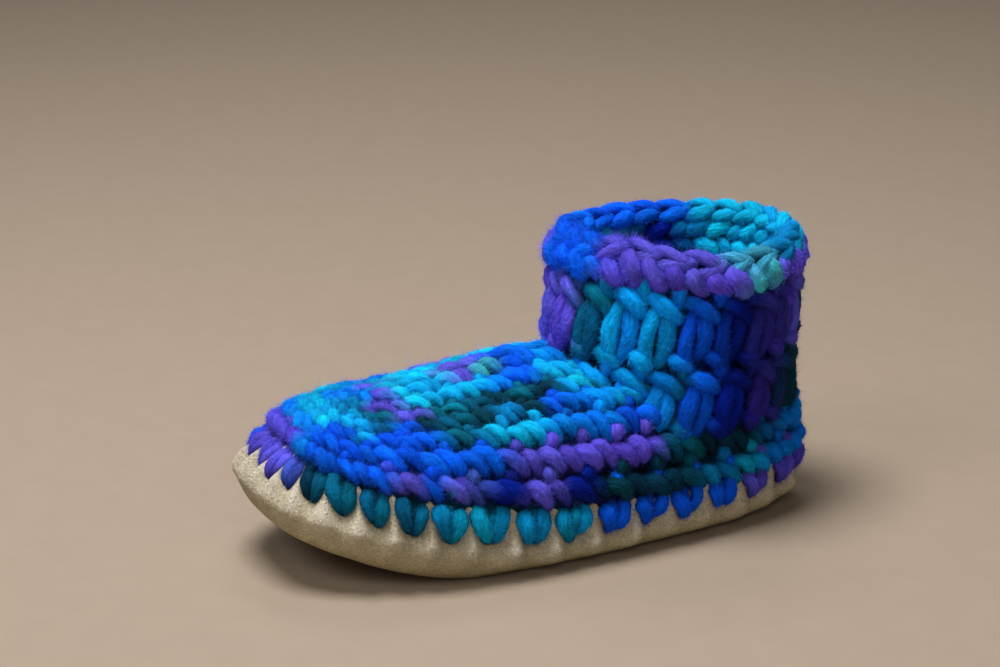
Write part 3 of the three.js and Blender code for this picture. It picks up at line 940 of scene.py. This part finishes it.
def shaft_tier(name, low, high, first, stretches):
    """Tall stitches: a slanting cap over two posts that lean together, a wrap at their foot and a bump
    between the caps."""
    yarn = Yarn(name)
    middle = np.arange(TIER_STITCHES) * SHAFT_UNITS / TIER_STITCHES + first
    tall = high - low

    def at(across, up, lift):
        return middle + across, low + up * tall, lift

    cap = curves(at(-0.46, 1.06, -2.4), at(-0.16, 1.14, 2.2), at(0.20, 0.98, 2.6), at(0.46, 0.74, -1.8))
    between = curves(at(0.36, 1.40, -2.4), at(0.36, 1.32, 0.8), at(0.38, 1.14, 1.0), at(0.40, 1.02, -2.0))
    left = curves(at(-0.10, 0.94, -2.0), at(-0.24, 0.72, 2.2), at(-0.35, 0.28, 2.2), at(-0.22, -0.04, -2.4))
    right = curves(at(0.02, 0.92, -2.0), at(0.16, 0.70, 1.4), at(0.12, 0.36, 1.6), at(-0.08, 0.04, -2.4))
    wrap = curves(at(-0.60, 0.20, -2.2), at(-0.50, 0.26, 2.2), at(-0.28, 0.12, 2.8), at(-0.10, -0.02, -2.2))
    for controls, radius in ((cap, 3.5), (between, 3.2), (left, 3.8), (right, 3.4), (wrap, 3.4)):
        yarn.add(SHAFT, controls, radius, stretches, 0.7)
    return yarn


def collar_row():
    """A round of short upright stitches in pairs under the rim."""
    yarn = Yarn("collar_row")
    pair = SHAFT_UNITS / COLLAR_PAIRS
    middle = np.arange(COLLAR_PAIRS) * pair

    def at(across, down, lift):
        return middle + across * pair, COLLAR_ROW_TOP - down, lift

    first = curves(at(-0.46, 0, -1.6), at(-0.40, 1.0, 3.0), at(-0.16, 6.5, 3.2), at(-0.02, 8.5, -1.8))
    second = curves(at(0.06, 0, -1.6), at(0.10, 1.5, 2.4), at(0.30, 5.5, 2.8), at(0.45, 7.5, -1.8))
    yarn.add(SHAFT, first, 4.4, COLLAR_DYES, 0.8)
    yarn.add(SHAFT, second, 4.1, COLLAR_DYES, 0.8)
    return yarn


def collar_braid():
    """The chained edge: lobes that climb to the right outside, lobes above that fall to meet them, and an
    inner side."""
    yarn = Yarn("collar_braid")
    link = np.arange(BRAID_LINKS, dtype=float)
    stretches = [(name, end * BRAID_LINKS / SHAFT_UNITS) for name, end in BRAID_DYES]

    def at(across, turn, lift):
        return link + across, turn, lift

    outer = curves(at(-0.66, -0.95, -1.2), at(-0.34, -0.55, 1.4), at(0.30, 0.15, 1.6), at(0.68, 0.55, -0.8))
    upper = curves(at(-0.66, 1.45, -1.0), at(-0.34, 1.15, 1.4), at(0.30, 0.55, 1.6), at(0.68, 0.30, -0.8))
    inner = curves(at(-0.60, 1.45, -1.2), at(-0.28, 1.70, 1.0), at(0.26, 2.15, 1.0), at(0.60, 2.50, -1.2))
    for controls, radius in ((outer, 3.5), (upper, 3.4), (inner, 3.4)):
        yarn.add(BRAID, controls, radius, stretches, 0.6)
    return yarn


def leaning_lobes(around, reach, up, rise):
    """Short lobes that slant up or down along a round on the wrong side."""
    def at(across, climb, lift):
        return around + across * reach, up + climb * rise, lift

    return curves(at(-0.56, -0.95, -2.4), at(-0.25, -0.5, 1.2), at(0.25, 0.5, 1.2), at(0.56, 0.95, -2.4))


def inside_rows():
    """The wrong side: rounds of short slanting lobes, each leaning against the round below, down the shaft
    and the heel. The front of the shaft stops at the underside of the vamp."""
    yarn = Yarn("inside_rows")
    pitch = SHAFT_UNITS / INSIDE_STITCHES
    for k, z in enumerate(INSIDE_ROUNDS):
        odd = k % 2
        around = (np.arange(INSIDE_STITCHES) + 0.5 * odd) * pitch
        from_front = np.minimum(around, SHAFT_UNITS - around)
        around = around[(z > VAMP_UNDERSIDE) | (from_front > FRONT_HALF)]
        lobes = leaning_lobes(around, pitch, z, INSIDE_SLANT * (1 - 2 * odd))
        yarn.add(INSIDE, lobes, INSIDE_YARN, INSIDE_DYES, 0.6)
    heel = np.arange(STITCHES * INSIDE_HEEL_FROM, STITCHES * INSIDE_HEEL_TO, INSIDE_HEEL_PITCH)
    for k, row in enumerate(INSIDE_HEEL_ROUNDS):
        odd = k % 2
        around = heel + 0.5 * INSIDE_HEEL_PITCH * odd
        lobes = leaning_lobes(around, INSIDE_HEEL_PITCH, row, INSIDE_HEEL_SLANT * (1 - 2 * odd))
        yarn.add(INNER_FOOT, lobes, INSIDE_YARN, FOOT_DYES[2], 0.6)
    return yarn


# Felted wall behind the stitches, darkened by painted shade

def foot_felt():
    """Points and colours of the outer and inner face of the foot's wall: the dye of the row in front,
    darkened by painted shade, the inner face twice as bright as the outer.
    """
    stitch = np.arange(STITCHES * FELT_PARTS) / FELT_PARTS
    around, up = np.meshgrid(stitch, FELT_ROWS, indexing="ij")
    dye = np.zeros((*up.shape, 3))
    for k, top in enumerate((0, *ROUND_HIGH)):
        here = (dye.sum(-1) == 0) & (up <= top + 0.01)
        # painted shade on the wall behind the stitches
        dye[here] = dye_at(FOOT_DYES[k], around[here], STITCHES) * FELT_PAINTED_SHADE
    outer, _ = FOOT.at(around, up, lerp(FELT_EDGE_LIFT, FELT_LIFT, smooth(FELT_EDGE_FROM, FELT_EDGE_TO, up)))
    inner, _ = FOOT.at(around, up, FELT_INNER_FACE - WALL)
    return (outer, dye), (inner, dye * 2)


def shaft_felt():
    """Points and colours of the outer and inner face of the shaft's wall, dyed and darkened by painted shade.
    """
    place = np.arange(SHAFT_UNITS * FELT_PARTS) / FELT_PARTS
    around, up = np.meshgrid(place, FELT_SHAFT_HEIGHTS, indexing="ij")
    tier_dye = dye_at(UPPER_TIER_DYES, around, SHAFT_UNITS)
    collar_dye = dye_at(COLLAR_DYES, around, SHAFT_UNITS)
    outer_dye = np.where((up > FELT_COLLAR_FROM)[..., None], collar_dye, tier_dye)
    inner_dye = dye_at(INSIDE_DYES, around, SHAFT_UNITS)
    outer, _ = SHAFT.at(around, up, FELT_SHAFT_LIFT)
    inner, _ = INSIDE.at(around, up, FELT_INSIDE_LIFT)
    return (outer, outer_dye * FELT_PAINTED_SHADE), (inner, inner_dye * FELT_PAINTED_SHADE)


def in_foot_wall(middle):
    return ~inside_shaft(middle, -FELT_RUNS_IN) | (middle[:, 2] < HEEL_WALL_TOP)


def in_shaft_wall(middle):
    return (middle[:, 2] > VAMP_UNDERSIDE) | (middle[:, 1] > HEEL_WALL_FROM_Y)


def felted_wall(material):
    """The dense wool that closes the gaps between stitches, darkened by painted shade, open where the foot
    meets the shaft.
    """
    points = []
    dyes = []
    quads = []
    first = 0
    for sheets, kept in ((foot_felt(), in_foot_wall), (shaft_felt(), in_shaft_wall)):
        for sheet, dye in sheets:
            faces = grid_faces(*sheet.shape[:2], True)
            flat = sheet.reshape(-1, 3)
            quads.append(faces[kept(flat[faces].mean(1))] + first)
            points.append(flat)
            dyes.append(dye.reshape(-1, 3))
            first += len(flat)
    points = np.concatenate(points)
    # the dye attribute here holds the wall's dyes darkened by painted shade
    attributes = {"dye": np.concatenate(dyes), "fibre": points}
    return mesh_object("felted_wall", points, np.concatenate(quads), NO_TRIANGLES, material, attributes)


# Stray fibres

def fibre_roots(yarns, count, middle=(0, 0, 0), reach=EVERYWHERE):
    """Places on the yarn, within reach of a middle, where stray fibres grow, with their normals and colours
    (dyes with painted crevice shade).
    """
    parts = [np.concatenate(values) for values in zip(*[yarn.roots() for yarn in yarns])]
    near = np.flatnonzero(np.linalg.norm(parts[0] - middle, axis=1) < reach)
    pick = near[RNG.integers(0, len(near), count)]
    root, normal, dye = [values[pick] for values in parts]
    slide = RNG.normal(0, HAIR_SLIDE, root.shape)
    return root + slide - normal * np.sum(slide * normal, 1, keepdims=True), normal, dye


def fibre_colour_with_painted_sheen(dye, points_each):
    """Single fibres are painted lighter than the yarn that they grow from: a painted sheen for the light that
    they catch.
    """
    return np.repeat(np.clip(dye * 1.4 + 0.01, 0, 1), points_each, axis=0)


def short_fuzz(name, yarns, material, middle=(0, 0, 0), reach=EVERYWHERE):
    """The felted nap: fine straight hairs, each a slim spike, that lean every way."""
    count, longest = FUZZ[name]
    root, normal, dye = fibre_roots(yarns, count, middle, reach)
    lean = unit(normal + RNG.normal(0, 0.75, normal.shape))
    length = longest * RNG.uniform(0.25, 1, count) ** 1.5
    side = unit(np.cross(lean, RNG.normal(0, 1, normal.shape))) * HAIR_HALF_WIDTH
    foot = root - normal * HAIR_ROOT
    points = np.stack([foot - side, foot + side, foot + lean * length[:, None]], 1).reshape(-1, 3)
    attributes = {"dye": fibre_colour_with_painted_sheen(dye, 3), "fibre": np.repeat(root, 3, axis=0)}
    return mesh_object(name, points, NO_QUADS, np.arange(count * 3).reshape(-1, 3), material, attributes)


def long_hairs(yarns, material):
    """The few long hairs that stand away from the yarn and curl."""
    root, normal, dye = fibre_roots(yarns, LONG_HAIRS)
    lean = unit(normal + RNG.normal(0, 0.6, normal.shape))
    curl = unit(RNG.normal(0, 1, normal.shape))
    length = RNG.uniform(*LONG_HAIR_LENGTHS, LONG_HAIRS)[:, None]
    t = np.linspace(0, 1, HAIR_STEPS + 1)
    foot = (root - normal * HAIR_ROOT)[:, None]
    straight = lean[:, None] * (length * t)[..., None]
    middle = foot + straight + curl[:, None] * (length * t ** 2 * LONG_HAIR_CURL)[..., None]
    side = unit(np.cross(lean, RNG.normal(0, 1, normal.shape)))[:, None]
    width = (HAIR_HALF_WIDTH * 0.6 * (1 - 0.7 * t))[None, :, None]
    edges = np.stack([middle - side * width, middle + side * width], 2)
    i = np.arange(HAIR_STEPS) * 2
    per_hair = (HAIR_STEPS + 1) * 2
    shift = (np.arange(LONG_HAIRS) * per_hair)[:, None, None]
    quads = (np.stack([i, i + 1, i + 3, i + 2], -1) + shift).reshape(-1, 4)
    attributes = {"dye": fibre_colour_with_painted_sheen(dye, per_hair), "fibre": np.repeat(root, per_hair, axis=0)}
    return mesh_object("long_hairs", edges.reshape(-1, 3), quads, NO_TRIANGLES, material, attributes)


# Suede sole

def soft_noise(x, y, z, scale):
    """A cheap smooth wander made of a few crossing waves."""
    a = np.sin(x / scale * 1.3 + 1.7 * np.sin(y / scale * 0.9 + 0.4) + z / scale * 0.7)
    b = np.sin(y / scale * 1.7 + 1.3 * np.sin(z / scale * 1.1 + 2.0) - x / scale * 0.6)
    c = np.sin((x + y) / scale * 2.3 + 1.1 * np.sin(x / scale * 1.9 - z / scale))
    return (a + b + 0.5 * c) / 2.5


def between_holes(stitch):
    """0 at a hole, 1 midway to the next."""
    return 1 - np.abs(np.mod(stitch, 1) * 2 - 1)


def sole_profile(place, inset, tooth, floor):
    """Distance in from the outline and height of each loop, from the toothed rim down the wall and under."""
    lean = rim_lean(place)
    tucked = lean * HOLE_SHARE_OF_LEAN
    blunt = TOE_BLUNT * toe_share(place)
    rim, hole, bulge = rim_height(place), hole_height(place), bulge_height(place)
    loops = []
    for share in np.arange(WALL_LOOPS) / WALL_LOOPS:
        if share < HOLE_SHARE:
            local = share / HOLE_SHARE
            loops.append((inset + lerp(lean, tucked, local), lerp(rim + tooth, hole, local)))
        else:
            local = (share - HOLE_SHARE) / (1 - HOLE_SHARE)
            loops.append((inset + tucked * (1 - local) + blunt * local, lerp(hole, bulge, local)))
    for turn in np.arange(TURN_LOOPS + 1) / TURN_LOOPS * math.pi / 2:
        under = UNDER_TURN * (1 - math.cos(turn)) + blunt * math.cos(turn)
        loops.append((inset + under, bulge + (floor - bulge) * math.sin(turn)))
    return loops


def sole_puff(stitch, hole, z, floor):
    """How far the wall stands out: in at the holes and in the grooves above them, out between them."""
    from_hole = between_holes(stitch) / 2
    pitch = pitch_at(stitch)
    down = hole - z
    near_hole = (from_hole * pitch) ** 2 + (down - HOLE_DENT_BELOW) ** 2
    dent = HOLE_DENT * np.exp(-near_hole / HOLE_DENT_REACH ** 2)
    side = (0.5 - from_hole) * pitch
    knuckle = KNUCKLE * np.exp(-(side / KNUCKLE_REACH) ** 2 - ((down - KNUCKLE_BELOW) / KNUCKLE_TALL) ** 2)
    groove = GROOVE * np.exp(-(from_hole / GROOVE_SHARE) ** 2) * smooth(GROOVE_FROM, GROOVE_TO, -down)
    fade = smooth(0, PUFF_FADE, z - floor)
    return (knuckle - dent - groove) * (1 - PUFF_LOSS_HEEL * heel_share(stitch)) * fade


def sole_loops(inset, detail):
    """Loops of one face of the suede, and how far each point is puffed out."""
    stitch, point, normal, place = round_outline(SOLE_PARTS)
    tooth_share = 1 - TOOTH_LOSS_TOE * toe_share(place) - TOOTH_LOSS_HEEL * heel_share(stitch)
    tooth = TOOTH_RISE * tooth_share * smooth(TOOTH_FROM, 1, between_holes(stitch)) - TOOTH_DROP
    edge = point - normal * (inset + UNDER_TURN)
    floor = floor_height(edge[:, 1]) + inset
    hole = hole_height(place)
    out = []
    puffs = []
    for inward, z in sole_profile(place, inset, tooth, floor):
        puff = detail * sole_puff(stitch, hole, z, floor)
        xy = point - normal * (inward - puff)[:, None]
        wander = SOLE_WANDER * detail * soft_noise(xy[:, 0], xy[:, 1], z, SOLE_WANDER_SCALE)
        xy = xy + normal * wander[:, None]
        out.append(np.column_stack([xy[:, 0], xy[:, 1] + MIDDLE_Y, z]))
        puffs.append(puff)
    return np.array(out), np.array(puffs)


def painted_suede_light(loops, puff):
    """Painted light and shade of the suede, from -1, painted shade in hollows and where it faces down, to 1,
    painted light on puffs and where it faces up.
    """
    round_step = np.roll(loops, -1, 1) - np.roll(loops, 1, 1)
    facing_up = unit(np.cross(round_step, np.gradient(loops, axis=0)))[..., 2]
    return np.clip(LIGHT_BY_PUFF * puff / KNUCKLE + LIGHT_BY_FACING * facing_up, -1, 1)


def suede_sole(material):
    """The cupped suede piece, closed over its rim, with a floor bridged from side to side."""
    outer, outer_puff = sole_loops(0.0, 1.0)
    inner, inner_puff = sole_loops(SUEDE, INNER_DETAIL)
    loops = np.concatenate([outer[::-1], inner])
    lit_and_shaded = painted_suede_light(loops, np.concatenate([outer_puff[::-1], inner_puff]))
    *sheets, quads = closed_wall(loops, FLOOR_COLUMNS)
    points = np.concatenate(sheets)
    points[:, 2] = np.maximum(points[:, 2], 0)
    # painted light and shade for the wall's points; the floor sheets get the middle value
    painted_light = np.zeros((len(points), 3))
    painted_light[:lit_and_shaded.size] = lit_and_shaded.T.reshape(-1, 1)
    return mesh_object("suede_sole", points, quads, NO_TRIANGLES, material, {"painted_light": painted_light})


def fleece_insole(material):
    """A soft bed in the dish, its pile raised in small tufts."""
    _, point, normal, _ = round_outline(INSOLE_PARTS)
    under = SUEDE + UNDER_TURN
    base = floor_height((point - normal * under)[:, 1]) + SUEDE + INSOLE_ABOVE_SUEDE
    loops = []
    for distance, rise in ((under, 0), *INSOLE_EDGE):
        xy = point - normal * distance
        loops.append(np.column_stack([xy[:, 0], xy[:, 1] + MIDDLE_Y, base + rise]))
    edge, bottom, top, quads = closed_wall(np.array(loops), INSOLE_COLUMNS)
    top[:, 2] += TUFT_HEIGHT * soft_noise(top[:, 0], top[:, 1], top[:, 2], TUFT_SCALE)
    points = np.concatenate([edge, bottom, top])
    return mesh_object("fleece_insole", points, quads, NO_TRIANGLES, material, {})


# Materials

class Shading:
    """A new material, with short calls for the nodes that its colour and bump are made of."""

    def __init__(self, name):
        self.material = bpy.data.materials.new(name)
        self.material.use_nodes = True
        self.tree = self.material.node_tree

    def set_inputs(self, node, inputs):
        """Gives each input of a node a plain value, or links it to the output of another node."""
        for key, value in inputs.items():
            if isinstance(value, bpy.types.NodeSocket):
                self.tree.links.new(value, node.inputs[key])
            else:
                node.inputs[key].default_value = value

    def outputs(self, kind, inputs, **settings):
        """Outputs of a new node with these settings and inputs."""
        node = self.tree.nodes.new("ShaderNode" + kind)
        for key, value in settings.items():
            setattr(node, key, value)
        self.set_inputs(node, inputs)
        return node.outputs

    def place(self):
        return self.outputs("TexCoord", {})["Object"]

    def attribute(self, name, output):
        return self.outputs("Attribute", {}, attribute_name=name)[output]

    def noise(self, vector, scale, detail, roughness=0.6):
        inputs = {"Vector": vector, "Scale": scale, "Detail": detail, "Roughness": roughness}
        return self.outputs("TexNoise", inputs)["Fac"]

    def stretched_noise(self, vector, stretch, detail, roughness=0.6):
        mapped = self.outputs("Mapping", {"Vector": vector, "Scale": stretch})["Vector"]
        return self.noise(mapped, 1, detail, roughness)

    def spread(self, value, low, high, from_low=0.3, from_high=0.7):
        """Takes a value between from_low and from_high to one between low and high."""
        inputs = {"Value": value, "From Min": from_low, "From Max": from_high, "To Min": low, "To Max": high}
        return self.outputs("MapRange", inputs)["Result"]

    def two_tones(self, value, colours, places):
        """A colour between two linear ones, which are reached at two places of a value."""
        node = self.tree.nodes.new("ShaderNodeValToRGB")
        for element, place, colour in zip(node.color_ramp.elements, places, colours):
            element.position = place
            element.color = (*colour, 1)
        self.set_inputs(node, {"Fac": value})
        return node.outputs["Color"]

    def scaled(self, colour, scale):
        return self.outputs("VectorMath", {0: colour, "Scale": scale}, operation="SCALE")[0]

    def bump(self, height, strength, distance, **below):
        """The bumped normal, over the one of another bump if Normal is given."""
        inputs = {"Height": height, "Strength": strength, "Distance": distance, **below}
        return self.outputs("Bump", inputs)["Normal"]

    def finish(self, inputs):
        self.set_inputs(self.tree.nodes["Principled BSDF"], inputs)
        return self.material


def wool_material():
    """Hand-dyed felted yarn: fibres run along each strand, with streaks of dye and small tufts."""
    wool = Shading("hand_dyed_wool")
    fibre = wool.attribute("fibre", "Vector")
    streak = wool.stretched_noise(fibre, (0.12, 0.6, 0.6), 3)
    tuft = wool.stretched_noise(fibre, (0.4, 0.6, 0.6), 3)
    hair = wool.stretched_noise(fibre, (0.7, 2.6, 2.6), 4, 0.7)
    shades = {0: wool.spread(streak, 0.6, 1.16), 1: wool.spread(hair, 0.86, 1.14)}
    shade = wool.outputs("Math", shades, operation="MULTIPLY")[0]
    return wool.finish({
        # the dye attribute holds the yarn's dyes with painted shade in crevices and on the felted wall, and a
        # painted sheen on stray fibres
        "Base Color": wool.scaled(wool.attribute("dye", "Color"), shade),
        "Normal": wool.bump(hair, 0.35, 0.0003, Normal=wool.bump(tuft, 0.6, 0.002)),
        "Roughness": 0.9,
        "Specular IOR Level": 0.06,
    })


def suede_material():
    """Napped cream suede: mottled nap, a fine pebbled grain, painted light on puffs and up-facing parts, and
    darker, yellower painted shade in creases.
    """
    suede = Shading("napped_suede")
    place = suede.place()
    mottle = suede.noise(place, 140, 4)
    grain = suede.noise(place, 1000, 3, 0.75)
    speck = suede.noise(place, 1700, 2)
    nap = suede.two_tones(mottle, linear(SUEDE_COLOURS), (0.3, 0.7))
    # painted light and shade: a whiter tint where light is painted, a darker, yellower one where shade is
    # painted
    painted_light = suede.spread(suede.attribute("painted_light", "Fac"), 0, 1, -0.9, 0.9)
    light_tint = suede.two_tones(painted_light, SUEDE_LIGHT_TINTS, (0, 1))
    lit_and_shaded = suede.outputs("VectorMath", {0: nap, 1: light_tint}, operation="MULTIPLY")[0]
    return suede.finish({
        "Base Color": suede.scaled(lit_and_shaded, suede.spread(grain, 0.68, 1.2)),
        "Normal": suede.bump(speck, 0.5, 0.0007, Normal=suede.bump(grain, 1.0, 0.003)),
        "Roughness": 0.95,
        "Specular IOR Level": 0.12,
        "Sheen Weight": 0.1,
        "Sheen Roughness": 0.6,
        "Sheen Tint": (1.0, 0.94, 0.82, 1),
    })


def fleece_material():
    """Cream fleece with curled pile."""
    fleece = Shading("cream_fleece")
    pile = fleece.noise(fleece.place(), 420, 4, 0.7)
    return fleece.finish({
        "Base Color": fleece.two_tones(pile, linear(FLEECE_COLOURS), (0.3, 0.7)),
        "Normal": fleece.bump(pile, 0.9, 0.002),
        "Roughness": 1.0,
        "Specular IOR Level": 0.1,
        "Sheen Weight": 0.4,
    })


def floor_material():
    """A pale floor with a faint cloudy grain."""
    floor = Shading("pale_floor")
    grain = floor.noise(floor.place(), 60, 3)
    colour = floor.two_tones(grain, linear(FLOOR_COLOURS), (0, 1))
    return floor.finish({"Base Color": colour, "Roughness": 0.8, "Specular IOR Level": 0.2})


# Stage

def view_axes():
    """Directions to the right in the picture, to the camera, and up from the floor."""
    azimuth = math.radians(CAMERA_AZIMUTH)
    elevation = math.radians(CAMERA_ELEVATION)
    right = np.array([math.cos(azimuth), math.sin(azimuth), 0])
    back = np.array([math.sin(azimuth) * math.cos(elevation), -math.cos(azimuth) * math.cos(elevation),
                     math.sin(elevation)])
    return np.array([right, back, (0, 0, 1)])


def aim(obj, eye, target):
    """Turns a camera or light at eye, in metres, to look at target."""
    back = unit(eye - target)
    right = unit(np.cross((0, 0, 1), back))
    up = np.cross(back, right)
    matrix = np.eye(4)
    matrix[:3] = np.column_stack([right, up, back, eye])
    obj.matrix_world = Matrix(matrix.tolist())


def add_camera():
    target = np.array(CAMERA_TARGET) * MM
    data = bpy.data.cameras.new("camera")
    data.lens = CAMERA_LENS
    data.sensor_width = CAMERA_SENSOR
    camera = bpy.data.objects.new("camera", data)
    bpy.context.scene.collection.objects.link(camera)
    aim(camera, target + view_axes()[1] * CAMERA_DISTANCE * MM, target)
    bpy.context.scene.camera = camera


def add_light(name, place, target, size, power, colour):
    data = bpy.data.lights.new(name, "AREA")
    data.shape = "DISK"
    data.size = size
    data.energy = power
    data.color = colour
    light = bpy.data.objects.new(name, data)
    bpy.context.scene.collection.objects.link(light)
    aim(light, place @ view_axes(), target @ view_axes())


def add_stage():
    """Lights, a dim warm surround and the floor."""
    bpy.context.scene.view_settings.view_transform = "Standard"
    for name, light in LIGHTS.items():
        add_light(name, *light)
    world = bpy.data.worlds.new("studio")
    bpy.context.scene.world = world
    world.use_nodes = True
    background = world.node_tree.nodes["Background"]
    background.inputs["Color"].default_value = STUDIO_COLOUR
    background.inputs["Strength"].default_value = STUDIO_STRENGTH
    corners = np.array([(-1, -1, 0), (1, -1, 0), (1, 1, 0), (-1, 1, 0)]) * FLOOR_REACH
    floor = mesh_object("floor", corners, np.array([[0, 1, 2, 3]]), NO_TRIANGLES, floor_material(), {})


# Assembly

def wool_pieces():
    """The yarn of every row, the felted wall behind it and the fibres that stray from it."""
    wool = wool_material()
    joining = joining_stitches()
    rows = [foot_round(k) for k in range(ROUNDS)]
    lower = shaft_tier("shaft_lower_tier", *LOWER_TIER, LOWER_TIER_DYES)
    upper = shaft_tier("shaft_upper_tier", *UPPER_TIER, UPPER_TIER_DYES)
    collar = collar_row()
    braid = collar_braid()
    inside = inside_rows()
    outside = [joining, *rows, lower, upper, collar, braid]
    front = shaft_ring(FRONT_TUFT_ANGLE, COLLAR_Z, 0)
    return [
        *[yarn.build(wool) for yarn in (*outside, inside)],
        felted_wall(wool),
        short_fuzz("low_foot_fuzz", [joining, *rows[:2]], wool),
        short_fuzz("high_foot_fuzz", rows[2:], wool),
        short_fuzz("shaft_fuzz", [lower, upper], wool),
        short_fuzz("collar_fuzz", [collar, braid, inside], wool),
        short_fuzz("front_tuft", [collar, braid], wool, front, FRONT_TUFT_REACH),
        long_hairs(outside, wool),
        short_fuzz("toe_tuft", rows, wool, TOE_TUFT_MIDDLE, TOE_TUFT_REACH),
    ]


def build():
    for piece in wool_pieces():
        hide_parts("upper")
        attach(piece, "root")
    sole = suede_sole(suede_material())
    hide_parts("sole")
    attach(sole, "root")
    insole = fleece_insole(fleece_material())
    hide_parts("insole")
    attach(insole, "root")


build()
add_stage()
add_camera()
